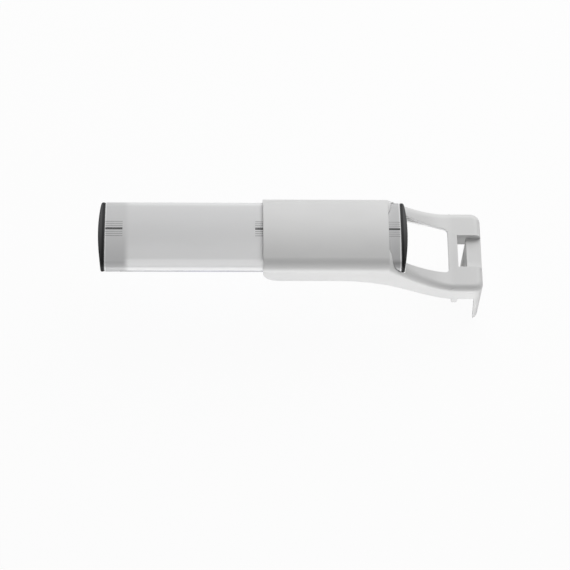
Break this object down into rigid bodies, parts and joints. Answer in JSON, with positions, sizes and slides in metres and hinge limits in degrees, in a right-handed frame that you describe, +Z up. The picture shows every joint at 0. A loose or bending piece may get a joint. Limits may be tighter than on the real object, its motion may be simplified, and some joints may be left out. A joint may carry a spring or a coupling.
{
  "type": "led aquarium light",
  "caption": "Slim clear-tube LED light for a small aquarium, carried by a white holder whose two arms end in a clip that hangs on the rim of the tank's glass.",
  "frame": {"origin": "middle of the clip's seat on the top edge of the tank's glass, half way through the slot", "axes": "+X runs along the lamp from the tank towards the clip's outer wall, -Y is the holder's front, +Z is up"},
  "size_m": [0.2508, 0.058, 0.0721],
  "materials": {
    "clear_tube": "clear polycarbonate, extruded",
    "cap_plastic": "dark moulded plastic, semi-gloss",
    "seal_rubber": "soft black rubber",
    "grommet_rubber": "soft black rubber",
    "sink_metal": "satin anodised",
    "led_board_face": "white solder mask",
    "driver_board_face": "green solder mask",
    "white_diode": "clear lens, lit cold white",
    "red_diode": "clear lens, lit red",
    "blue_diode": "clear lens, lit royal blue",
    "screw_steel": "zinc plated",
    "reflector_plastic": "bright white",
    "cover_plastic": "grey, fine grained",
    "pad_silicone": "soft silicone sheet",
    "ferrite": "dark ferrite",
    "capacitor_can": "drawn can",
    "chip_epoxy": "black epoxy",
    "terminal_plastic": "green moulded block",
    "lead_insulation": "soft insulation",
    "holder_plastic": "white moulded plastic, semi-gloss"
  },
  "bodies": {
    "holder": {"holder": "holder_plastic"},
    "lamp": {"lamp_tube": "clear_tube", "end_cap_left": "cap_plastic", "end_cap_right": "cap_plastic", "end_seal_left": "seal_rubber", "end_seal_right": "seal_rubber", "cable_grommet": "grommet_rubber", "heat_sink": "sink_metal", "led_board": "led_board_face", "white_leds": "white_diode", "red_leds": "red_diode", "blue_leds": "blue_diode", "board_screws": "screw_steel", "reflector": "reflector_plastic", "end_cover": "cover_plastic", "driver_board": "driver_board_face", "thermal_pad": "pad_silicone", "inductor": "ferrite", "capacitors": "capacitor_can", "driver_chip": "chip_epoxy", "terminal_block": "terminal_plastic", "driver_cover": "cover_plastic", "lead_wires": "lead_insulation"},
    "jaw": {"clip_jaw": "holder_plastic"}
  },
  "joints": [
    {"name": "lamp_slide", "type": "slide", "parent": "holder", "child": "lamp", "axis": [1, 0, 0], "range_m": [-0.04, 0]},
    {"name": "jaw_spring", "type": "hinge", "parent": "holder", "child": "jaw", "pos_m": [-0.0042, 0, 0.009], "axis": [0, 1, 0], "range_deg": [0, 8], "stiffness_Nm_per_rad": 1.5}
  ]
}
